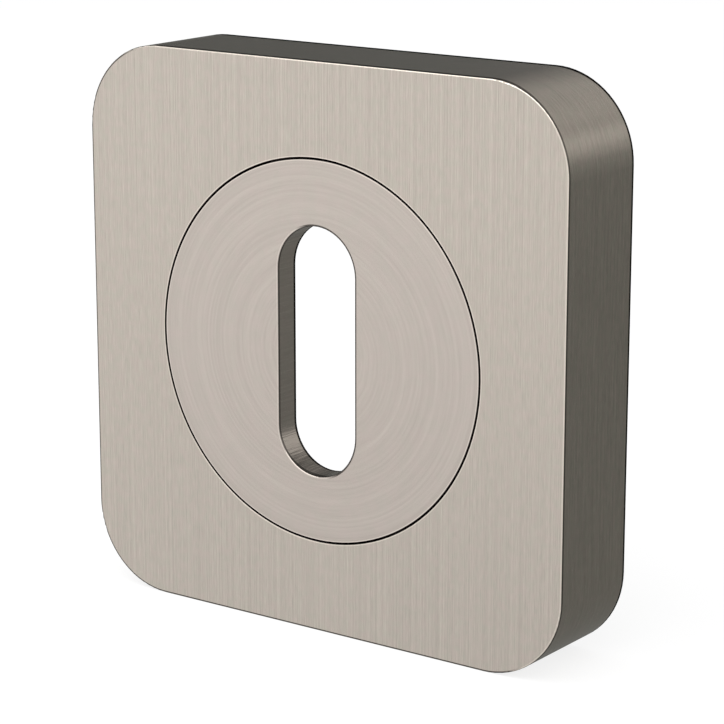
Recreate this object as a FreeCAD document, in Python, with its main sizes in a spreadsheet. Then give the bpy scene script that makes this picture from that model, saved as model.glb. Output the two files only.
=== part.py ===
import FreeCAD, Part
import math
import os

import Sketcher
from FreeCAD import Vector

# Square key escutcheon with rounded corners: a cast cover, a turned insert with the key slot set
# flush in its front, and a moulded base that is screwed to the door and that the cover snaps onto.
# Frame: the door's surface is the plane Y = 0, the front faces -Y, +Z is up, and the origin is the
# centre of the back. Sizes are in millimetres.

doc = FreeCAD.newDocument("KeyEscutcheon")

SIZES = {
    # cover
    "cover_width": 50.0,
    "projection": 10.0,
    "corner_radius": 7.6,
    "front_wall": 2.5,
    "side_wall": 1.7,
    "edge_round": 0.12,
    "inner_round": 0.6,
    "aperture_radius": 16.85,
    "seat_ledge": 1.4,
    "seat_depth": 1.3,
    "recess_height": 3.8,
    "recess_width": 1.4,
    "recess_depth": 0.5,
    "recess_end_gap": 1.0,
    "pry_width": 5.0,
    "pry_depth": 1.0,
    # key insert
    "groove_gap": 0.14,
    "flange_gap": 0.15,
    "lug_width": 4.0,
    "lug_reach": 1.1,
    "lug_gap": 0.15,
    "slot_width": 8.2,
    "slot_length": 22.0,
    "edge_break": 0.05,
    # base plate
    "fit_gap": 0.1,
    "plate_thickness": 2.0,
    "collar_wall": 2.0,
    "rim_wall": 1.3,
    "rim_lead_in": 0.4,
    "screw_spacing": 32.0,
    "screw_hole_radius": 2.1,
    "screw_head_radius": 3.6,
    "boss_wall": 1.1,
    "boss_height": 4.2,
    "rib_thickness": 1.0,
    "rib_spacing": 14.0,
    "tongue_width": 8.0,
    "tongue_slit": 0.8,
    "tongue_tip": 0.4,
    "nose_gap": 0.1,
    "nose_slope": 0.4,
}

# Two places this close are the same place.
NEAR = 1e-4

# The outline is square, so what sits on one side or corner is repeated on all four.
SIDES = 4
FULL_TURN = 360
COUNTERSINK_ANGLE = 90

# Sizes that follow from those above, as formulas for the features.
INNER_WIDTH = "(Sizes.cover_width - 2 * Sizes.side_wall)"
INNER_RADIUS = "(Sizes.corner_radius - Sizes.side_wall)"
INNER_DEPTH = "(Sizes.projection - Sizes.front_wall)"
SEAT_RADIUS = "(Sizes.aperture_radius + Sizes.seat_ledge)"
SEAT_HEIGHT = f"({INNER_DEPTH} + Sizes.seat_depth)"
DISC_RADIUS = "(Sizes.aperture_radius - Sizes.groove_gap)"
FLANGE_RADIUS = f"({SEAT_RADIUS} - Sizes.flange_gap)"
LUG_END = f"({FLANGE_RADIUS} + Sizes.lug_reach)"
BASE_WIDTH = f"({INNER_WIDTH} - 2 * Sizes.fit_gap)"
BASE_RADIUS = f"({INNER_RADIUS} - Sizes.fit_gap)"
RIM_INNER_WIDTH = f"({BASE_WIDTH} - 2 * Sizes.rim_wall)"
RIM_INNER_RADIUS = f"({BASE_RADIUS} - Sizes.rim_wall)"
RECESS_END = "(Sizes.recess_height + Sizes.recess_width)"
RIM_HEIGHT = f"({RECESS_END} + Sizes.tongue_tip)"
BORE_RADIUS = f"({FLANGE_RADIUS} - Sizes.collar_wall)"
BOSS_RADIUS = "(Sizes.screw_head_radius + Sizes.boss_wall)"
NOSE_TIP = f"({INNER_WIDTH} / 2 + Sizes.recess_depth - Sizes.nose_gap)"


def fill_sheet():
    sheet = doc.addObject("Spreadsheet::Sheet", "Sizes")
    for row, (alias, value) in enumerate(SIZES.items(), start=1):
        sheet.set(f"A{row}", alias)
        sheet.set(f"B{row}", str(value))
        sheet.setAlias(f"B{row}", alias)
    doc.recompute()


# Sketches. Each is drawn roughly and then held by its constraints. A door sketch lies on the door's
# plane or on a level in front of it, with X to the right and Z up, and its features grow forwards.


def new_sketch(body, name, role="XZ_Plane", level=None):
    plane = [f for f in body.Origin.OriginFeatures if f.Role == role][0]
    sketch = body.newObject("Sketcher::SketchObject", name)
    sketch.AttachmentSupport = (plane, "")
    sketch.MapMode = "FlatFace"
    if level is not None:
        sketch.setExpression(".AttachmentOffset.Base.z", level)
    return sketch


def hold(sketch, kind, places, name, formula, rough):
    """Add one driving dimension and tie it to the sheet."""
    index = sketch.addConstraint(Sketcher.Constraint(kind, *places, rough))
    sketch.renameConstraint(index, name)
    sketch.setExpression(f"Constraints.{name}", formula)


def draw_circle(sketch, name, radius, offset=None):
    """A circle on the origin, or the same offset to the right and up from it."""
    rough_offset, rough_radius = 15, 3
    start = Vector(rough_offset, rough_offset, 0) if offset else Vector()
    ring = sketch.addGeometry(Part.Circle(start, Vector(0, 0, 1), rough_radius))
    if offset:
        hold(sketch, "DistanceX", (-1, 1, ring, 3), f"{name}_across", offset, rough_offset)
        hold(sketch, "DistanceY", (-1, 1, ring, 3), f"{name}_up", offset, rough_offset)
    else:
        sketch.addConstraint(Sketcher.Constraint("Coincident", ring, 3, -1, 1))
    hold(sketch, "Radius", (ring,), f"{name}_radius", radius, rough_radius)


def draw_rounded_square(sketch, name, width, radius):
    """A centred square of four lines, run anticlockwise from the bottom, with an arc after each."""
    half, bend = 20, 5
    near = half - bend
    corners = [
        (Vector(-near, -half, 0), Vector(near, -half, 0), Vector(near, -near, 0)),
        (Vector(half, -near, 0), Vector(half, near, 0), Vector(near, near, 0)),
        (Vector(near, half, 0), Vector(-near, half, 0), Vector(-near, near, 0)),
        (Vector(-half, near, 0), Vector(-half, -near, 0), Vector(-near, -near, 0)),
    ]
    lines, arcs = [], []
    quarter = math.pi / 2
    for turn, (start, end, centre) in enumerate(corners):
        lines.append(sketch.addGeometry(Part.LineSegment(start, end)))
        circle = Part.Circle(centre, Vector(0, 0, 1), bend)
        arc = Part.ArcOfCircle(circle, (turn - 1) * quarter, turn * quarter)
        arcs.append(sketch.addGeometry(arc))
    for turn in range(SIDES):
        after = lines[(turn + 1) % SIDES]
        sketch.addConstraint(Sketcher.Constraint("Tangent", lines[turn], 2, arcs[turn], 1))
        sketch.addConstraint(Sketcher.Constraint("Tangent", arcs[turn], 2, after, 1))
        direction = "Vertical" if turn % 2 else "Horizontal"
        sketch.addConstraint(Sketcher.Constraint(direction, lines[turn]))
    for arc in arcs[1:]:
        sketch.addConstraint(Sketcher.Constraint("Equal", arcs[0], arc))
    sketch.addConstraint(Sketcher.Constraint("Symmetric", lines[0], 1, lines[2], 1, -1, 1))
    hold(sketch, "Radius", (arcs[0],), f"{name}_radius", radius, bend)
    hold(sketch, "DistanceX", (lines[3], 1, lines[1], 1), f"{name}_width", width, 2 * half)
    hold(sketch, "DistanceY", (lines[0], 1, lines[2], 1), f"{name}_height", width, 2 * half)


def draw_rectangle(sketch, name, left, right, bottom, top):
    """Sides are given as distances from the origin: left and bottom ones count negative."""
    x, low, high = 4, 12, 18
    corners = [Vector(-x, low, 0), Vector(x, low, 0), Vector(x, high, 0), Vector(-x, high, 0)]
    lines = []
    for turn in range(SIDES):
        line = Part.LineSegment(corners[turn], corners[(turn + 1) % SIDES])
        lines.append(sketch.addGeometry(line))
    for turn in range(SIDES):
        after = lines[(turn + 1) % SIDES]
        sketch.addConstraint(Sketcher.Constraint("Coincident", lines[turn], 2, after, 1))
        direction = "Vertical" if turn % 2 else "Horizontal"
        sketch.addConstraint(Sketcher.Constraint(direction, lines[turn]))
    hold(sketch, "DistanceX", (-1, 1, lines[0], 1), f"{name}_left", left, -x)
    hold(sketch, "DistanceX", (-1, 1, lines[0], 2), f"{name}_right", right, x)
    hold(sketch, "DistanceY", (-1, 1, lines[0], 1), f"{name}_bottom", bottom, low)
    hold(sketch, "DistanceY", (-1, 1, lines[2], 1), f"{name}_top", top, high)


def draw_pair(sketch, name, near, far, bottom, top):
    """Two rectangles, one each side of the upright centre line."""
    draw_rectangle(sketch, f"{name}_right", near, far, bottom, top)
    draw_rectangle(sketch, f"{name}_left", f"-{far}", f"-{near}", bottom, top)


def draw_slot(sketch, name, width, length):
    """An upright slot with round ends, centred on the origin."""
    bend, rise = 4, 7
    high_circle = Part.Circle(Vector(0, rise, 0), Vector(0, 0, 1), bend)
    low_circle = Part.Circle(Vector(0, -rise, 0), Vector(0, 0, 1), bend)
    arcs = [
        sketch.addGeometry(Part.ArcOfCircle(high_circle, 0, math.pi)),
        sketch.addGeometry(Part.ArcOfCircle(low_circle, math.pi, 2 * math.pi)),
    ]
    left = sketch.addGeometry(Part.LineSegment(Vector(-bend, rise, 0), Vector(-bend, -rise, 0)))
    right = sketch.addGeometry(Part.LineSegment(Vector(bend, -rise, 0), Vector(bend, rise, 0)))
    sketch.addConstraint(Sketcher.Constraint("Tangent", arcs[0], 2, left, 1))
    sketch.addConstraint(Sketcher.Constraint("Tangent", left, 2, arcs[1], 1))
    sketch.addConstraint(Sketcher.Constraint("Tangent", arcs[1], 2, right, 1))
    sketch.addConstraint(Sketcher.Constraint("Tangent", right, 2, arcs[0], 1))
    sketch.addConstraint(Sketcher.Constraint("Vertical", left))
    sketch.addConstraint(Sketcher.Constraint("Vertical", right))
    sketch.addConstraint(Sketcher.Constraint("Symmetric", arcs[0], 3, arcs[1], 3, -1, 1))
    hold(sketch, "Radius", (arcs[0],), f"{name}_radius", f"{width} / 2", bend)
    straight = f"{length} - {width}"
    hold(sketch, "DistanceY", (arcs[1], 3, arcs[0], 3), f"{name}_straight", straight, 2 * rise)


def draw_path(sketch, name, points):
    """A closed outline through points given as pairs of formulas, with rough places beside them."""
    rough = [Vector(x, y, 0) for _, _, x, y in points]
    lines = []
    for turn in range(len(points)):
        line = Part.LineSegment(rough[turn], rough[(turn + 1) % len(points)])
        lines.append(sketch.addGeometry(line))
    for turn, (across, up, x, y) in enumerate(points):
        before = lines[turn - 1]
        sketch.addConstraint(Sketcher.Constraint("Coincident", before, 2, lines[turn], 1))
        place = (-1, 1, lines[turn], 1)
        hold(sketch, "DistanceX", place, f"{name}_across_{turn}", across, x)
        hold(sketch, "DistanceY", place, f"{name}_up_{turn}", up, y)


# Features


def pad(body, sketch, name, length):
    feature = body.newObject("PartDesign::Pad", name)
    feature.Profile = sketch
    feature.setExpression("Length", length)
    return feature


def pocket(body, sketch, name, depth):
    """Cut forwards from the sketch, away from the door."""
    feature = body.newObject("PartDesign::Pocket", name)
    feature.Profile = sketch
    feature.setExpression("Length", depth)
    feature.Reversed = True
    return feature


def repeat_round(body, feature, name):
    """Repeat a feature on all four sides, about the axis that stands out of the door."""
    axis = [f for f in body.Origin.OriginFeatures if f.Role == "Y_Axis"][0]
    pattern = body.newObject("PartDesign::PolarPattern", name)
    pattern.Originals = [feature]
    pattern.Axis = (axis, [""])
    pattern.Angle = FULL_TURN
    pattern.Occurrences = SIDES
    body.Tip = pattern


def dress_edges(body, kind, name, wanted, formula):
    """Round or chamfer the edges of the body's tip for which wanted(edge) is true."""
    doc.recompute()
    tip = body.Tip
    names = [f"Edge{i}" for i, e in enumerate(tip.Shape.Edges, start=1) if wanted(e)]
    feature = body.newObject(f"PartDesign::{kind}", name)
    feature.Base = (tip, names)
    feature.setExpression("Radius" if kind == "Fillet" else "Size", formula)


def at_level(level, shape_of_edge):
    """Pick the edges that lie in one plane parallel to the door and pass one more test."""

    def wanted(edge):
        box = edge.BoundBox
        flat = abs(box.YMin - level) < NEAR and abs(box.YMax - level) < NEAR
        return flat and shape_of_edge(edge)

    return wanted


def beyond(reach):
    """Edges of a square outline, whose middles lie further from the centre than reach."""
    return lambda edge: max(abs(edge.CenterOfMass.x), abs(edge.CenterOfMass.z)) > reach


def round_centre(edge):
    """Whole circles about the line that stands out of the door."""
    middle = edge.CenterOfMass
    return abs(middle.x) < NEAR and abs(middle.z) < NEAR


def any_edge(edge):
    return True


# Pieces


def make_cover():
    """The cast cover: a shallow shell, open to the door, with the stepped aperture in its front."""
    body = doc.addObject("PartDesign::Body", "cover")

    outline = new_sketch(body, "cover_outline")
    draw_rounded_square(outline, "outline", "Sizes.cover_width", "Sizes.corner_radius")
    pad(body, outline, "cover_block", "Sizes.projection")

    hollow = new_sketch(body, "cover_inside")
    draw_rounded_square(hollow, "inside", INNER_WIDTH, INNER_RADIUS)
    pocket(body, hollow, "cover_hollow", INNER_DEPTH)

    aperture = new_sketch(body, "aperture_circle")
    draw_circle(aperture, "aperture", "Sizes.aperture_radius")
    pocket(body, aperture, "aperture", "Sizes.projection")

    seat = new_sketch(body, "seat_circle")
    draw_circle(seat, "seat", SEAT_RADIUS)
    pocket(body, seat, "insert_seat", SEAT_HEIGHT)

    # Two notches beside the seat take the insert's lugs and keep its slot upright.
    notch = new_sketch(body, "lug_notches")
    end = f"({LUG_END} + Sizes.flange_gap)"
    side = "(Sizes.lug_width / 2 + Sizes.lug_gap)"
    draw_rectangle(notch, "notch", f"-{end}", end, f"-{side}", side)
    pocket(body, notch, "lug_notch", SEAT_HEIGHT)

    # One recess inside each wall takes the nose of a tongue on the base.
    recess = new_sketch(body, "recess_outline", level="Sizes.recess_height")
    half = "(Sizes.tongue_width / 2 + Sizes.recess_end_gap)"
    wall = f"{INNER_WIDTH} / 2"
    inside = f"({wall} - Sizes.side_wall)"
    draw_rectangle(recess, "recess", f"-{half}", half, inside, f"({wall} + Sizes.recess_depth)")
    snap = pocket(body, recess, "snap_recess", "Sizes.recess_width")
    repeat_round(body, snap, "snap_recesses")

    # A notch in the lower wall lets a blade lift the cover off.
    pry = new_sketch(body, "pry_outline")
    half = "(Sizes.pry_width / 2)"
    outside = "-(Sizes.cover_width / 2 + Sizes.side_wall)"
    draw_rectangle(pry, "pry", f"-{half}", half, outside, f"-{inside}")
    pocket(body, pry, "pry_notch", "Sizes.pry_depth")

    front = -SIZES["projection"]
    floor = front + SIZES["front_wall"]
    outline_edges = beyond(SIZES["aperture_radius"] + SIZES["seat_ledge"] + SIZES["lug_reach"])
    outer = at_level(front, outline_edges)
    dress_edges(body, "Fillet", "front_edge", outer, "Sizes.edge_round")
    inner = at_level(floor, outline_edges)
    dress_edges(body, "Fillet", "inner_corner", inner, "Sizes.inner_round")
    rim_of_hole = at_level(front, round_centre)
    dress_edges(body, "Chamfer", "aperture_edge", rim_of_hole, "Sizes.edge_break")
    return body


def make_insert():
    """The turned insert: a disc with a flange behind, two lugs and the key slot."""
    body = doc.addObject("PartDesign::Body", "key_insert")

    profile = new_sketch(body, "insert_profile", role="XY_Plane")
    front, step, back = "-Sizes.projection", f"-{SEAT_HEIGHT}", f"-{INNER_DEPTH}"
    corners = [
        ("0", front, 0, -10),
        (DISC_RADIUS, front, 17, -10),
        (DISC_RADIUS, step, 17, -9),
        (FLANGE_RADIUS, step, 18, -9),
        (FLANGE_RADIUS, back, 18, -7),
        ("0", back, 0, -7),
    ]
    draw_path(profile, "insert", corners)
    disc = body.newObject("PartDesign::Revolution", "insert_disc")
    disc.Profile = profile
    disc.ReferenceAxis = (profile, ["V_Axis"])
    disc.Angle = FULL_TURN

    lugs = new_sketch(body, "lug_outline", level=INNER_DEPTH)
    side = "(Sizes.lug_width / 2)"
    draw_rectangle(lugs, "lug", f"-{LUG_END}", LUG_END, f"-{side}", side)
    pad(body, lugs, "lugs", "Sizes.seat_depth")

    slot = new_sketch(body, "slot_outline")
    draw_slot(slot, "slot", "Sizes.slot_width", "Sizes.slot_length")
    pocket(body, slot, "key_slot", "Sizes.projection")

    front_edges = at_level(-SIZES["projection"], any_edge)
    dress_edges(body, "Chamfer", "front_edges", front_edges, "Sizes.edge_break")
    return body


def make_base():
    """The moulded base: plate and rim, a collar that holds the insert, screw bosses and tongues."""
    body = doc.addObject("PartDesign::Body", "base_plate")

    outline = new_sketch(body, "plate_outline")
    draw_rounded_square(outline, "plate", BASE_WIDTH, BASE_RADIUS)
    pad(body, outline, "plate", "Sizes.plate_thickness")

    rim = new_sketch(body, "rim_outline")
    draw_rounded_square(rim, "outer", BASE_WIDTH, BASE_RADIUS)
    draw_rounded_square(rim, "inner", RIM_INNER_WIDTH, RIM_INNER_RADIUS)
    pad(body, rim, "rim", RIM_HEIGHT)
    rim_top = -(SIZES["recess_height"] + SIZES["recess_width"] + SIZES["tongue_tip"])
    outside = beyond(SIZES["cover_width"] / 2 - SIZES["side_wall"] - SIZES["rim_wall"])
    dress_edges(body, "Chamfer", "rim_edge", at_level(rim_top, outside), "Sizes.rim_lead_in")

    collar = new_sketch(body, "collar_circle")
    draw_circle(collar, "collar", FLANGE_RADIUS)
    pad(body, collar, "collar", INNER_DEPTH)

    boss = new_sketch(body, "boss_circle")
    corner = "(Sizes.screw_spacing / 2)"
    draw_circle(boss, "boss", BOSS_RADIUS, corner)
    first_boss = pad(body, boss, "boss", "Sizes.boss_height")
    repeat_round(body, first_boss, "bosses")

    # Ribs run from the collar to the rim, two on each side, beside the tongues.
    rib = new_sketch(body, "rib_outline")
    near = "(Sizes.rib_spacing / 2 - Sizes.rib_thickness / 2)"
    far = "(Sizes.rib_spacing / 2 + Sizes.rib_thickness / 2)"
    rim_middle = f"({RIM_INNER_WIDTH} / 2 + Sizes.rim_wall / 2)"
    draw_pair(rib, "rib", near, far, f"{BORE_RADIUS} / 2", rim_middle)
    first_ribs = pad(body, rib, "ribs", "Sizes.boss_height")
    repeat_round(body, first_ribs, "rib_pairs")

    bore = new_sketch(body, "bore_circle")
    draw_circle(bore, "bore", BORE_RADIUS)
    pocket(body, bore, "key_bore", "Sizes.projection")

    # Slits free a tongue in the middle of each side of the rim.
    slit = new_sketch(body, "slit_outline", level="Sizes.plate_thickness")
    near = "(Sizes.tongue_width / 2)"
    far = "(Sizes.tongue_width / 2 + Sizes.tongue_slit)"
    inside = f"({RIM_INNER_WIDTH} / 2 - Sizes.rim_wall / 2)"
    outside = f"({BASE_WIDTH} / 2 + Sizes.rim_wall / 2)"
    draw_pair(slit, "slit", near, far, inside, outside)
    first_slits = pocket(body, slit, "slits", RIM_HEIGHT)
    repeat_round(body, first_slits, "slit_pairs")

    # The nose on each tongue springs into the cover's recess. Its sketch has Y across and Z up.
    nose = new_sketch(body, "nose_profile", role="YZ_Plane")
    low = "-(Sizes.recess_height + Sizes.nose_gap)"
    low_land = "-(Sizes.recess_height + Sizes.nose_gap + Sizes.nose_slope)"
    high_land = f"-({RECESS_END} - Sizes.nose_gap - Sizes.nose_slope)"
    high = f"-({RECESS_END} - Sizes.nose_gap)"
    face = f"{BASE_WIDTH} / 2"
    corners = [
        (low, rim_middle, -3, 22),
        (low, face, -3, 23),
        (low_land, NOSE_TIP, -3.5, 24),
        (high_land, NOSE_TIP, -4.5, 24),
        (high, face, -5, 23),
        (high, rim_middle, -5, 22),
    ]
    draw_path(nose, "nose", corners)
    first_nose = pad(body, nose, "nose", "Sizes.tongue_width")
    first_nose.Midplane = True
    repeat_round(body, first_nose, "noses")

    # Countersunk screw holes, cut from the top of each boss to the door.
    screw = new_sketch(body, "screw_circle", level="Sizes.boss_height")
    draw_circle(screw, "screw", "Sizes.screw_hole_radius", corner)
    doc.recompute()
    hole = body.newObject("PartDesign::Hole", "screw_hole")
    hole.Profile = screw
    doc.recompute()
    hole.DepthType = "ThroughAll"
    hole.setExpression("Diameter", "2 * Sizes.screw_hole_radius")
    hole.HoleCutType = "Countersink"
    hole.HoleCutCustomValues = True
    hole.setExpression("HoleCutDiameter", "2 * Sizes.screw_head_radius")
    hole.HoleCutCountersinkAngle = COUNTERSINK_ANGLE
    doc.recompute()
    repeat_round(body, hole, "screw_holes")
    return body


def check(pieces):
    """Stop before anything is written if a feature failed or a piece isn't one sound solid."""
    for item in doc.Objects:
        if "Invalid" in item.State or "Error" in item.State:
            raise RuntimeError(f"{item.Name} failed: {item.State}")
        if item.isDerivedFrom("Sketcher::SketchObject") and not item.FullyConstrained:
            raise RuntimeError(f"{item.Name} isn't held by its constraints")
    for piece in pieces:
        shape = piece.Shape
        if shape.isNull() or not shape.isValid() or len(shape.Solids) != 1:
            raise RuntimeError(f"{piece.Label} isn't one sound solid")


fill_sheet()
pieces = [make_cover(), make_insert(), make_base()]
doc.recompute()
check(pieces)
os.makedirs("parts", exist_ok=True)
for piece in pieces:
    piece.Shape.exportStep(f"parts/{piece.Label}.step")
    print(f"{piece.Label}: {piece.Shape.Volume:.1f} mm3")
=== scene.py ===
import math

import bpy
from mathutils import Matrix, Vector


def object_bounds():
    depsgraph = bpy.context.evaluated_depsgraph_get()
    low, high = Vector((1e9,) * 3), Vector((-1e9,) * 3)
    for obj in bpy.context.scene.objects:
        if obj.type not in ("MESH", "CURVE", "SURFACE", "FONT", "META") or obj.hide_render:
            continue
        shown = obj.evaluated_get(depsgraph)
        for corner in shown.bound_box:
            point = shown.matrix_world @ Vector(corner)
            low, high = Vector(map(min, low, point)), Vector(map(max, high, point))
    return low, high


# A square key escutcheon in brushed nickel, standing on its lower edge in a white studio.
# The frame is the model's own: metres, front towards -Y, +Z up, the door's plane at Y = 0.

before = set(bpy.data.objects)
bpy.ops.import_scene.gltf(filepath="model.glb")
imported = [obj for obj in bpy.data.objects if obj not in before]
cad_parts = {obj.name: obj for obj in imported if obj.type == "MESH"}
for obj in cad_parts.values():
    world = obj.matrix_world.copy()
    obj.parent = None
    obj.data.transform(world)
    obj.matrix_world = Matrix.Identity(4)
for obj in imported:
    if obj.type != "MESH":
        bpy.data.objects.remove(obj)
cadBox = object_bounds()
boxLow, boxHigh = cadBox
scene = bpy.context.scene
scene.view_settings.view_transform = "Standard"
millimetre = 0.001
white = (1, 1, 1, 1)
black = (0, 0, 0, 1)
print("frame loaded:", ", ".join(sorted(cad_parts)))


# Node helpers. Where a value is itself a socket, it is linked and not set.

def startMaterial(name):
    material = bpy.data.materials.new(name)
    material.use_nodes = True
    tree = material.node_tree
    tree.nodes.clear()
    return material, tree


def setInput(tree, target, value):
    if isinstance(value, bpy.types.NodeSocket):
        tree.links.new(value, target)
    else:
        target.default_value = value


def addNode(tree, kind, settings=None, **values):
    node = tree.nodes.new(kind)
    for key, value in (settings or {}).items():
        setattr(node, key, value)
    for key, value in values.items():
        setInput(tree, node.inputs[key], value)
    return node


def calculate(tree, operation, first, second=None, third=None):
    node = addNode(tree, "ShaderNodeMath", {"operation": operation})
    for target, value in zip(node.inputs, (first, second, third)):
        if value is not None:
            setInput(tree, target, value)
    return node.outputs[0]


def multiply(tree, first, *others):
    product = first
    for other in others:
        product = calculate(tree, "MULTIPLY", product, other)
    return product


mixSockets = {"FLOAT": (2, 3, 0), "VECTOR": (4, 5, 1), "RGBA": (6, 7, 2)}


def mixValues(tree, factor, first, second, kind="FLOAT"):
    node = addNode(tree, "ShaderNodeMix", {"data_type": kind})
    firstIndex, secondIndex, resultIndex = mixSockets[kind]
    for index, value in ((0, factor), (firstIndex, first), (secondIndex, second)):
        setInput(tree, node.inputs[index], value)
    return node.outputs[resultIndex]


def rampBetween(tree, value, low, high):
    # 0 up to low and 1 from high on, or the other way round where low is the larger
    node = addNode(tree, "ShaderNodeMapRange", {"clamp": True}, Value=value)
    node.inputs["From Min"].default_value = low
    node.inputs["From Max"].default_value = high
    return node.outputs[0]


def joinVector(tree, x, y, z):
    return addNode(tree, "ShaderNodeCombineXYZ", X=x, Y=y, Z=z).outputs[0]


def splitVector(tree, vector):
    return addNode(tree, "ShaderNodeSeparateXYZ", Vector=vector).outputs


def vectorNode(tree, operation, vector):
    node = addNode(tree, "ShaderNodeVectorMath", {"operation": operation})
    setInput(tree, node.inputs[0], vector)
    return node


def scaleVector(tree, vector, share):
    node = vectorNode(tree, "SCALE", vector)
    setInput(tree, node.inputs["Scale"], share)
    return node.outputs[0]


def vectorLength(tree, vector):
    return vectorNode(tree, "LENGTH", vector).outputs["Value"]


def noise(tree, vector, detail=1.0):
    node = addNode(tree, "ShaderNodeTexNoise", Vector=vector, Scale=1.0, Detail=detail)
    return node.outputs[0]


def objectPlace(tree):
    return addNode(tree, "ShaderNodeTexCoord").outputs["Object"]


def surfacePlace(tree):
    # the point in millimetres and the way the surface faces, both in the piece's own frame
    coordinates = addNode(tree, "ShaderNodeTexCoord").outputs
    return scaleVector(tree, coordinates["Object"], 1 / millimetre), coordinates["Normal"]


def spreadRoughness(tree, look, pattern):
    return mixValues(tree, pattern, look["roughness"] - look["roughnessSpread"],
                     look["roughness"] + look["roughnessSpread"])


# Brushed nickel. Every brushed surface is built the same way from two vectors that run fast
# across the strokes and slowly along them, one for long strokes and one for short ones.

def brushedMetal(tree, look, place, onFace, longWays, shortWays, wallStrokeDepth, spread,
                 paintedEdgeLight):
    strokes = mixValues(tree, look["shortShare"], noise(tree, longWays), noise(tree, shortWays))
    hue = noise(tree, scaleVector(tree, place, look["huePerMillimetre"]))
    bands = noise(tree, scaleVector(tree, longWays, look["bandPitch"]))

    tint = mixValues(tree, rampBetween(tree, hue, *look["hueLimits"]),
                     look["coolColour"], look["warmColour"], "RGBA")
    swing = calculate(tree, "MULTIPLY_ADD", strokes, 2.0, -1.0)     # from -1 to 1
    strokeDepth = mixValues(tree, onFace, wallStrokeDepth, look["strokeDepth"])
    strokeLevel = calculate(tree, "MULTIPLY_ADD", swing, strokeDepth, 1.0)
    bandLevel = mixValues(tree, bands, 1 - look["bandDepth"], 1 + look["bandDepth"])
    # painted highlights raise the metal's own colour
    paintedHighlight = calculate(tree, "MAXIMUM", paintedEdgeLight, 1.0)
    level = multiply(tree, strokeLevel, bandLevel, paintedHighlight)

    bumpHeight = mixValues(tree, onFace, look["wallBumpHeight"] * millimetre,
                           look["bumpHeight"] * millimetre)
    bump = addNode(tree, "ShaderNodeBump", Strength=look["bumpStrength"], Distance=bumpHeight,
                   Height=strokes)
    metal = addNode(tree, "ShaderNodeBsdfPrincipled", Metallic=1.0,
                    Roughness=spreadRoughness(tree, look, strokes),
                    Anisotropic=look["anisotropy"], Tangent=spread, Normal=bump.outputs[0])
    tree.links.new(scaleVector(tree, tint, level), metal.inputs["Base Color"])

    # painted shade lines are black mixed in, which stays dark where the metal is seen at a flat
    # angle
    dark = addNode(tree, "ShaderNodeBsdfDiffuse", Color=black)
    lined = addNode(tree, "ShaderNodeMixShader")
    lineMix = (calculate(tree, "MINIMUM", paintedEdgeLight, 1.0), dark.outputs[0], metal.outputs[0])
    for target, value in zip(lined.inputs, lineMix):
        setInput(tree, target, value)
    addNode(tree, "ShaderNodeOutputMaterial", Surface=lined.outputs[0])


# Painted highlight and painted shade lines along the edges, in millimetres. The way across an edge
# is counted from its sharp corner, above 0 onto the face and below 0 down the wall.

edgeLines = {
    "litLip": (-0.03, 0.13),
    "shadedLip": (-0.03, 0.17),
    "shoulder": (-0.26, -0.03),     # the painted shade band, on the wall
    # the painted highlight and painted shade levels, as factors on the metal's colour
    "paintedHighlightLip": 1.28,
    "paintedShadeLip": 0.21,
    "paintedShadeShoulder": 0.35,
    "litWay": (0.92, 0, 0.39),      # edges whose wall looks this way get a painted highlight on their lip, the others painted shade
    "litFade": 0.15,                # how softly a lip turns from painted highlight to painted shade along the edge
    "rim": 0.26,                    # the painted shade line at a wall's far end
    "paintedShadeRim": 0.05,
    "levelShare": 0.38,             # a level wall's depth counts this much, so its lines are wider
    "levelPower": 4.0,              # how quickly a wall stops being level in the corners
    "flatLimit": 0.95,              # how squarely a surface faces the room where it isn't bevelled
    "chamfer": 0.05,
    "paintedShadeChamfer": 0.65,
    "paintedHighlightGrooveLip": 1.42,
    "paintedShadeGroove": 0.03,
}

frontLevel = boxLow.y / millimetre


def between(tree, value, limits):
    low, high = limits
    return calculate(tree, "COMPARE", value, (low + high) / 2, (high - low) / 2)


def wayOut(tree, x, z, straightX, straightZ):
    # how far a point lies outside the straight core of a rounded outline, and how much it lies
    # towards the side that gets painted highlights there, from -1 to 1
    sides = []
    for value, straight in ((x, straightX), (z, straightZ)):
        held = calculate(tree, "MAXIMUM", calculate(tree, "MINIMUM", value, straight), -straight)
        sides.append(calculate(tree, "SUBTRACT", value, held))
    way = joinVector(tree, sides[0], 0.0, sides[1])
    distance = vectorLength(tree, way)
    towards = vectorNode(tree, "DOT_PRODUCT", way)
    towards.inputs[1].default_value = edgeLines["litWay"]
    return distance, calculate(tree, "DIVIDE", towards.outputs["Value"], distance)


# painted highlight on the lip of edges that look the lit way, painted shade on the lip of the
# others, and a painted shade band on the wall behind every edge
def edgePaintedLight(tree, across, lit):
    lips = []
    for name, tone in (("shadedLip", "paintedShadeLip"), ("litLip", "paintedHighlightLip")):
        onLip = between(tree, across, edgeLines[name])
        lips.append(mixValues(tree, onLip, 1.0, edgeLines[tone]))
    return mixValues(tree, between(tree, across, edgeLines["shoulder"]),
                     mixValues(tree, lit, *lips), edgeLines["paintedShadeShoulder"])


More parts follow.
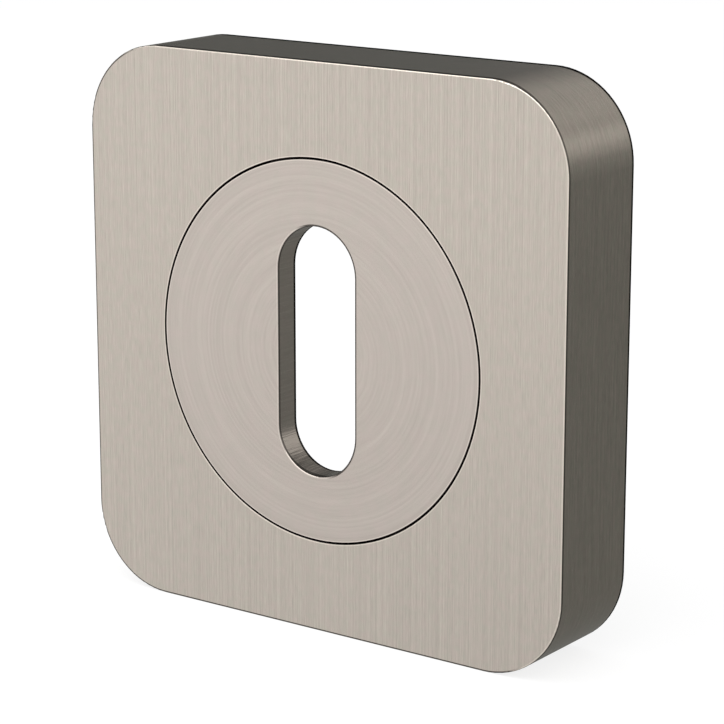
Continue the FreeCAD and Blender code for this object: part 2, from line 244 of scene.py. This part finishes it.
# painted highlight on the lip beside a groove, painted shade on its sloping chamfer and black
# painted shade inside the groove
def groovePaintedLight(tree, away, facing):
    # away is the distance from the groove's wall onto the face, facing is 1 on the face itself
    sloping = calculate(tree, "LESS_THAN", facing, edgeLines["flatLimit"])
    nearWall = calculate(tree, "LESS_THAN", away, edgeLines["chamfer"])
    inGroove = calculate(tree, "LESS_THAN", away, edgeLines["chamfer"] / 2)
    level = mixValues(tree, between(tree, away, edgeLines["litLip"]), 1.0,
                      edgeLines["paintedHighlightGrooveLip"])
    level = mixValues(tree, multiply(tree, sloping, nearWall), level, edgeLines["paintedShadeChamfer"])
    return mixValues(tree, inGroove, level, edgeLines["paintedShadeGroove"])


def wallDepth(tree, fromEdge, normalZ):
    # a distance towards the door, counted less where the wall is level
    facingUp = calculate(tree, "ABSOLUTE", normalZ)
    levelness = calculate(tree, "POWER", facingUp, edgeLines["levelPower"])
    share = mixValues(tree, levelness, 1.0, edgeLines["levelShare"])
    return multiply(tree, fromEdge, share)


def rimPaintedShade(tree, depth, end, onFace):
    # painted shade: a dark line where a wall comes to its end towards the door
    nearEnd = calculate(tree, "GREATER_THAN", depth, end - edgeLines["rim"])
    onRim = calculate(tree, "MAXIMUM", calculate(tree, "SUBTRACT", nearEnd, onFace), 0.0)
    return mixValues(tree, onRim, 1.0, edgeLines["paintedShadeRim"])


coverLook = {
    "warmColour": (0.569, 0.503, 0.448, 1),
    "coolColour": (0.545, 0.503, 0.438, 1),
    "huePerMillimetre": 1.2,
    "hueLimits": (0.35, 0.65),      # of the noise, from cool to warm
    "strokesPerMillimetre": 16.0,
    "strokeLength": 60.0,           # millimetres
    "shortStrokeLength": 1.6,
    "shortShare": 0.42,
    "strokeDepth": 0.35,
    "wallStrokesPerMillimetre": 4.0,
    "wallStrokeLength": 6.0,
    "wallShortStrokeLength": 0.8,
    "wallStrokeDepth": 0.22,
    "bandPitch": 0.08,              # a share of the strokes' own pitch
    "bandDepth": 0.004,
    "roughness": 0.20,
    "roughnessSpread": 0.05,
    "anisotropy": 0.3,
    "bumpStrength": 0.25,
    "bumpHeight": 0.004,            # millimetres
    "wallBumpHeight": 0.05,
    "faceLimit": 0.7,               # how squarely a surface faces the room to be brushed upright
    "cornerRadius": 7.6,
    "apertureRadius": 16.85,
    "seatLevel": -8.6,              # just behind the seat of the insert
}


def makeCoverNickel(look):
    material, tree = startMaterial("satin_nickel_cover")
    place, normal = surfacePlace(tree)
    x, y, z = splitVector(tree, place)
    normal = splitVector(tree, normal)
    facing = calculate(tree, "ABSOLUTE", normal["Y"])
    onFace = calculate(tree, "GREATER_THAN", facing, look["faceLimit"])

    def strokeVector(length, wallLength):
        # upright strokes on the face, short ones that follow the outline on the walls
        faceVector = joinVector(tree, multiply(tree, x, look["strokesPerMillimetre"]), 0.0,
                                calculate(tree, "DIVIDE", z, length))
        wallVector = joinVector(tree, calculate(tree, "DIVIDE", x, wallLength),
                                multiply(tree, y, look["wallStrokesPerMillimetre"]),
                                calculate(tree, "DIVIDE", z, wallLength))
        return mixValues(tree, onFace, wallVector, faceVector, "VECTOR")

    # painted highlight and shade lines along the outline's edge, a painted shade line on the rim
    # at the door, and painted highlight and shade at the round aperture's edge
    depth = wallDepth(tree, calculate(tree, "SUBTRACT", y, frontLevel), normal["Z"])
    straight = boxHigh.x / millimetre - look["cornerRadius"]
    outside, towards = wayOut(tree, x, z, straight, straight)
    inset = calculate(tree, "SUBTRACT", look["cornerRadius"], outside)
    lit = rampBetween(tree, towards, -edgeLines["litFade"], edgeLines["litFade"])
    outlinePaintedLight = edgePaintedLight(tree, calculate(tree, "SUBTRACT", inset, depth), lit)
    doorRimPaintedShade = rimPaintedShade(tree, wallDepth(tree, y, normal["Z"]), 0.0, onFace)
    radius = vectorLength(tree, joinVector(tree, x, 0.0, z))
    fromAperture = calculate(tree, "SUBTRACT", radius, look["apertureRadius"])
    atFront = calculate(tree, "LESS_THAN", y, look["seatLevel"])
    aperturePaintedLight = mixValues(tree, atFront, 1.0, groovePaintedLight(tree, fromAperture, facing))

    brushedMetal(
        tree, look, place, onFace,
        longWays=strokeVector(look["strokeLength"], look["wallStrokeLength"]),
        shortWays=strokeVector(look["shortStrokeLength"], look["wallShortStrokeLength"]),
        wallStrokeDepth=look["wallStrokeDepth"],
        spread=mixValues(tree, onFace, (0, 1, 0), (1, 0, 0), "VECTOR"),
        paintedEdgeLight=multiply(tree, outlinePaintedLight, doorRimPaintedShade, aperturePaintedLight))
    return material


insertLook = {
    "warmColour": (0.574, 0.507, 0.460, 1),
    "coolColour": (0.560, 0.507, 0.454, 1),
    "huePerMillimetre": 0.8,
    "hueLimits": (0.35, 0.65),
    "strokesPerMillimetre": 4.2,
    "strokeSweep": 0.4,             # how often a long ring changes on its way round
    "shortStrokeSweep": 4.0,
    "shortShare": 0.38,
    "strokeDepth": 0.11,
    "wallStrokesPerMillimetre": 10.8,
    "wallStrokeLength": 6.0,        # millimetres, on the slot's walls
    "wallShortStrokeLength": 1.5,
    "wallStrokeDepth": 0.15,
    "endStrokeDepth": 0.95,         # on the round ends of the slot
    "endFrom": 1.9,                 # millimetres past the slot's straight part
    "endTo": 2.7,
    "wallLevel": 1.05,
    "bandPitch": 0.12,              # a share of the strokes' own pitch
    "bandDepth": 0.045,
    "roughness": 0.20,
    "roughnessSpread": 0.05,
    "anisotropy": 0.3,
    "bumpStrength": 0.25,
    "bumpHeight": 0.004,            # millimetres
    "wallBumpHeight": 0.10,
    "faceLimit": 0.7,
    "chamferFacing": (0.5, 0.95),   # how squarely the slot's chamfer faces the room
    "discRadius": 16.71,
    "slotRadius": 4.1,
    "slotStraight": 6.9,            # from the middle to where the slot's ends begin
    "slotEnd": -7.5,                # where the slot's walls end towards the door
}


def makeInsertNickel(look):
    material, tree = startMaterial("turned_nickel_insert")
    place, normal = surfacePlace(tree)
    x, y, z = splitVector(tree, place)
    normal = splitVector(tree, normal)
    facing = calculate(tree, "ABSOLUTE", normal["Y"])
    onFace = calculate(tree, "GREATER_THAN", facing, look["faceLimit"])
    flat = joinVector(tree, x, 0.0, z)
    outward = vectorNode(tree, "NORMALIZE", flat).outputs[0]
    outwards = splitVector(tree, outward)
    radius = vectorLength(tree, flat)

    def strokeVector(sweep, length):
        # rings round the middle on the face, strokes that run towards the door in the slot
        faceVector = joinVector(tree, multiply(tree, outwards["X"], sweep),
                                multiply(tree, radius, look["strokesPerMillimetre"]),
                                multiply(tree, outwards["Z"], sweep))
        wallVector = joinVector(tree, multiply(tree, x, look["wallStrokesPerMillimetre"]),
                                calculate(tree, "DIVIDE", y, length),
                                multiply(tree, z, look["wallStrokesPerMillimetre"]))
        return mixValues(tree, onFace, wallVector, faceVector, "VECTOR")

    # painted highlight and shade lines along the slot's edge, painted shade on its chamfer and at
    # the end of its walls, and painted highlight and shade at the disc's own edge
    depth = wallDepth(tree, calculate(tree, "SUBTRACT", y, frontLevel), normal["Z"])
    outside, towards = wayOut(tree, x, z, 0.0, look["slotStraight"])
    fromSlot = calculate(tree, "SUBTRACT", outside, look["slotRadius"])
    lit = rampBetween(tree, towards, edgeLines["litFade"], -edgeLines["litFade"])
    slotPaintedLight = edgePaintedLight(tree, calculate(tree, "SUBTRACT", fromSlot, depth), lit)
    onChamfer = between(tree, facing, look["chamferFacing"])
    chamferPaintedShade = mixValues(tree, onChamfer, 1.0, edgeLines["paintedShadeChamfer"])
    slotEndPaintedShade = rimPaintedShade(tree, y, look["slotEnd"], onFace)
    fromGroove = calculate(tree, "SUBTRACT", look["discRadius"], radius)
    discEdgePaintedLight = groovePaintedLight(tree, fromGroove, facing)
    wallTone = mixValues(tree, onFace, look["wallLevel"], 1.0)

    alongWall = joinVector(tree, normal["Z"], 0.0, multiply(tree, normal["X"], -1.0))
    atEnd = rampBetween(tree, calculate(tree, "ABSOLUTE", z),
                        look["slotStraight"] + look["endFrom"],
                        look["slotStraight"] + look["endTo"])
    brushedMetal(
        tree, look, place, onFace,
        longWays=strokeVector(look["strokeSweep"], look["wallStrokeLength"]),
        shortWays=strokeVector(look["shortStrokeSweep"], look["wallShortStrokeLength"]),
        wallStrokeDepth=mixValues(tree, atEnd, look["wallStrokeDepth"], look["endStrokeDepth"]),
        spread=mixValues(tree, onFace, alongWall, outward, "VECTOR"),
        paintedEdgeLight=multiply(tree, slotPaintedLight, chamferPaintedShade, slotEndPaintedShade, discEdgePaintedLight, wallTone))
    return material


baseLook = {
    "colour": (0.045, 0.045, 0.047, 1),
    "paleColour": (0.062, 0.062, 0.065, 1),
    "roughness": 0.52,
    "roughnessSpread": 0.08,
    "grainPerMillimetre": 9.0,
    "cloudPerMillimetre": 0.15,
    "cloudLimits": (0.3, 0.7),      # of the noise, from the colour to the paler one
    "bumpStrength": 0.3,
    "bumpHeight": 0.01,             # millimetres
}


def makeBaseNylon(look):
    material, tree = startMaterial("moulded_nylon_base")
    place = surfacePlace(tree)[0]
    fine = noise(tree, scaleVector(tree, place, look["grainPerMillimetre"]), detail=3.0)
    cloud = noise(tree, scaleVector(tree, place, look["cloudPerMillimetre"]), detail=2.0)
    colour = mixValues(tree, rampBetween(tree, cloud, *look["cloudLimits"]),
                       look["colour"], look["paleColour"], "RGBA")
    bump = addNode(tree, "ShaderNodeBump", Strength=look["bumpStrength"],
                   Distance=look["bumpHeight"] * millimetre, Height=fine)
    nylon = addNode(tree, "ShaderNodeBsdfPrincipled", Normal=bump.outputs[0],
                    Roughness=spreadRoughness(tree, look, fine))
    tree.links.new(colour, nylon.inputs["Base Color"])
    addNode(tree, "ShaderNodeOutputMaterial", Surface=nylon.outputs[0])
    return material


def dress(node, material):
    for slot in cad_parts[node].material_slots:
        slot.link = "DATA"
        slot.material = material


dress("cover", makeCoverNickel(coverLook))
dress("key_insert", makeInsertNickel(insertLook))
dress("base_plate", makeBaseNylon(baseLook))
print("finishes on the cover, the insert and the base")


# Studio: a white room, a pale floor, one soft lamp above, and cards that only reflections see.

studio = {
    "floorSize": 6.0,
    "floorColour": (0.28, 0.28, 0.28, 1),
    "floorLift": 0.82,
    "roomLight": 0.55,
}


def seenDirectly(tree):
    # 1 for what the camera sees, also in a reflection or through glass
    path = addNode(tree, "ShaderNodeLightPath").outputs
    reflected = calculate(tree, "MAXIMUM", path["Is Glossy Ray"], path["Is Transmission Ray"])
    return calculate(tree, "MAXIMUM", path["Is Camera Ray"], reflected)


def makeRoom():
    world = bpy.data.worlds.new("studio_room")
    world.use_nodes = True
    world.cycles.sampling_method = "NONE"
    tree = world.node_tree
    tree.nodes.clear()
    strength = mixValues(tree, seenDirectly(tree), studio["roomLight"], 1.0)
    background = addNode(tree, "ShaderNodeBackground", Color=white, Strength=strength)
    addNode(tree, "ShaderNodeOutputWorld", Surface=background.outputs[0])
    scene.world = world


def makeFloor():
    half = studio["floorSize"] / 2
    corners = [(-half, -half, 0), (half, -half, 0), (half, half, 0), (-half, half, 0)]
    mesh = bpy.data.meshes.new("studio_floor")
    mesh.from_pydata(corners, [], [(0, 1, 2, 3)])
    floor = bpy.data.objects.new("studio_floor", mesh)
    floor.location.z = boxLow.z
    scene.collection.objects.link(floor)
    material, tree = startMaterial("floor_paper")
    paper = addNode(tree, "ShaderNodeBsdfDiffuse", Color=studio["floorColour"])
    lift = multiply(tree, seenDirectly(tree), studio["floorLift"])
    glow = addNode(tree, "ShaderNodeEmission", Color=white, Strength=lift)
    both = addNode(tree, "ShaderNodeAddShader")
    tree.links.new(paper.outputs[0], both.inputs[0])
    tree.links.new(glow.outputs[0], both.inputs[1])
    addNode(tree, "ShaderNodeOutputMaterial", Surface=both.outputs[0])
    mesh.materials.append(material)


makeRoom()
makeFloor()

topLamp = {
    "place": (0.0, -0.32, 0.50),
    "width": 0.9,
    "depth": 0.4,
    "brightness": 1.8,              # against a white card at 1
}


def makeLamp(name, look):
    lamp = bpy.data.lights.new(name, "AREA")
    lamp.shape = "RECTANGLE"
    lamp.size = look["width"]
    lamp.size_y = look["depth"]
    lamp.energy = look["brightness"] * math.pi * look["width"] * look["depth"]
    holder = bpy.data.objects.new(name, lamp)
    holder.location = look["place"]
    holder.rotation_euler = (-Vector(look["place"])).to_track_quat("-Z", "Y").to_euler()
    holder.visible_camera = False
    scene.collection.objects.link(holder)


makeLamp("top_softbox", topLamp)


# The cards: a dark sheet that lies behind the object and rises into a wall, a white one on the
# floor before it with a painted contact shadow of the object near its foot, and a pale one that
# stands behind it on the right.

def makeCard(name, points, faces, strengthFrom, colour=white):
    mesh = bpy.data.meshes.new(name)
    mesh.from_pydata(points, [], faces)
    material, tree = startMaterial(name)
    glow = addNode(tree, "ShaderNodeEmission", Color=colour, Strength=strengthFrom(tree))
    addNode(tree, "ShaderNodeOutputMaterial", Surface=glow.outputs[0])
    mesh.materials.append(material)
    card = bpy.data.objects.new(name, mesh)
    scene.collection.objects.link(card)
    card.visible_camera = False
    card.visible_diffuse = False
    card.visible_transmission = False
    card.visible_shadow = False


darkSweep = {
    "colour": (0.98, 1.0, 0.95, 1),
    "width": 8.0,
    "lift": 0.00005,                # above the floor
    "wallAt": 1.60,
    "bend": 0.30,
    "height": 7.0,
    "steps": 12,
    "leftBrightness": 0.117,
    "rightBrightness": 0.19,
    "leftEnd": -1.20,               # the brightness changes from here to the middle
    "highShare": 0.59,              # what is left of it up high
    "highFrom": 1.00,
    "highTo": 1.30,
    "farGain": 0.40,                # how much brighter it lies on the floor far behind the object
    "farFrom": 0.15,
    "farTo": 0.60,
}


def sweepBrightness(tree):
    x, y, z = splitVector(tree, objectPlace(tree))
    across = mixValues(tree, rampBetween(tree, x, darkSweep["leftEnd"], 0.0),
                       darkSweep["leftBrightness"], darkSweep["rightBrightness"])
    high = rampBetween(tree, z, darkSweep["highFrom"], darkSweep["highTo"])
    upwards = mixValues(tree, high, 1.0, darkSweep["highShare"])
    far = rampBetween(tree, y, darkSweep["farFrom"], darkSweep["farTo"])
    low = rampBetween(tree, z, darkSweep["bend"], 0.0)
    backwards = mixValues(tree, multiply(tree, far, low), 1.0, 1 + darkSweep["farGain"])
    return multiply(tree, across, upwards, backwards)


def makeDarkSweep(look):
    halfWidth = look["width"] / 2
    floorLevel = boxLow.z + look["lift"]
    profile = [(boxLow.y, floorLevel)]
    for step in range(look["steps"] + 1):
        turn = step / look["steps"] * math.pi / 2
        profile.append((look["wallAt"] - look["bend"] * (1 - math.sin(turn)),
                        floorLevel + look["bend"] * (1 - math.cos(turn))))
    profile.append((look["wallAt"], look["height"]))
    points = [(side * halfWidth, y, z) for y, z in profile for side in (-1, 1)]
    faces = [(row * 2, row * 2 + 1, row * 2 + 3, row * 2 + 2) for row in range(len(profile) - 1)]
    makeCard("dark_sweep", points, faces, sweepBrightness, look["colour"])


floorCard = {
    "size": 3.0,
    # painted shadow: a dark spot near the object's foot, which reflections see as its contact
    # shadow
    "paintedShadowSpot": (0.03, -0.01),
    "reach": 0.12,
    "loss": 0.22,                   # how much darker the painted shadow spot is than white
}


def makeFloorCard(look):
    half, level = look["size"] / 2, boxLow.z + darkSweep["lift"]
    corners = [(-half, -half, level), (half, -half, level),
               (half, boxLow.y, level), (-half, boxLow.y, level)]

    # white, with the object's painted contact shadow fading out from the spot
    def brightness(tree):
        place = splitVector(tree, objectPlace(tree))
        spotX, spotY = look["paintedShadowSpot"]
        fromSpot = joinVector(tree, calculate(tree, "SUBTRACT", place["X"], spotX),
                              calculate(tree, "SUBTRACT", place["Y"], spotY), 0.0)
        away = calculate(tree, "DIVIDE", vectorLength(tree, fromSpot), -look["reach"])
        loss = multiply(tree, calculate(tree, "EXPONENT", away), look["loss"])
        return calculate(tree, "SUBTRACT", 1.0, loss)

    makeCard("floor_card", corners, [(0, 1, 2, 3)], brightness)


glowCard = {
    "colour": (1.0, 0.99, 0.955, 1),
    "distance": 1.50,
    "left": -0.97,
    "right": 1.60,
    "bottom": -0.02,
    "top": 1.18,
    "brightness": 0.54,
    "leftFade": 0.80,               # how far in from the left it reaches its full brightness
    "bottomFade": 0.45,
    "topFade": 0.08,
    "gap": (0.58, 0.64, 0.76, 0.84),    # a fainter strip between two softboxes, by its height
    "gapLoss": 0.26,
    "gapEnd": 1.25,
    "gapFade": 0.2,
    "rightGain": 0.24,              # how much brighter it is towards its right end
    "rightFrom": 0.85,
    "rightFade": 0.3,
}


def makeGlowCard(look):
    left, right, bottom, top = look["left"], look["right"], look["bottom"], look["top"]
    corners = [(left, look["distance"], bottom), (right, look["distance"], bottom),
               (right, look["distance"], top), (left, look["distance"], top)]

    def brightness(tree):
        # fades into the sweep's own brightness at its left, upper and lower ends
        place = splitVector(tree, objectPlace(tree))
        x, z = place["X"], place["Z"]
        share = multiply(tree, rampBetween(tree, z, bottom, bottom + look["bottomFade"]),
                         rampBetween(tree, z, top, top - look["topFade"]),
                         rampBetween(tree, x, left, left + look["leftFade"]))
        gapLow, gapIn, gapOut, gapHigh = look["gap"]
        gap = multiply(tree, rampBetween(tree, z, gapLow, gapIn),
                       rampBetween(tree, z, gapHigh, gapOut),
                       rampBetween(tree, x, look["gapEnd"], look["gapEnd"] - look["gapFade"]))
        onRight = rampBetween(tree, x, look["rightFrom"], look["rightFrom"] + look["rightFade"])
        level = multiply(tree, mixValues(tree, onRight, 1.0, 1 + look["rightGain"]),
                         mixValues(tree, gap, 1.0, 1 - look["gapLoss"]), look["brightness"])
        return mixValues(tree, share, sweepBrightness(tree), level)

    makeCard("glow_card", corners, [(0, 1, 2, 3)], brightness, look["colour"])


makeDarkSweep(darkSweep)
makeFloorCard(floorCard)
makeGlowCard(glowCard)
print("studio ready")


# Camera, where the photograph was taken from.

cameraSetup = {
    "turn": 36.15,                  # degrees round to the right of the front
    "height": 13.94,                # degrees above the middle
    "distance": 0.23915,
    "aim": (-0.00121, -0.00169, -0.00262),
    "lens": 134.61,
    "sensor": 36.0,
    "nearest": 0.005,
}


def makeCamera(look):
    data = bpy.data.cameras.new("main_camera")
    data.sensor_width = look["sensor"]
    data.lens = look["lens"]
    data.clip_start = look["nearest"]
    camera = bpy.data.objects.new("main_camera", data)
    turn, height = math.radians(look["turn"]), math.radians(look["height"])
    level = math.cos(height)
    away = Vector((math.sin(turn) * level, -math.cos(turn) * level, math.sin(height)))
    camera.location = Vector(look["aim"]) + look["distance"] * away
    camera.rotation_euler = (math.pi / 2 - height, 0, turn)
    scene.collection.objects.link(camera)
    scene.camera = camera


makeCamera(cameraSetup)
print("camera set")
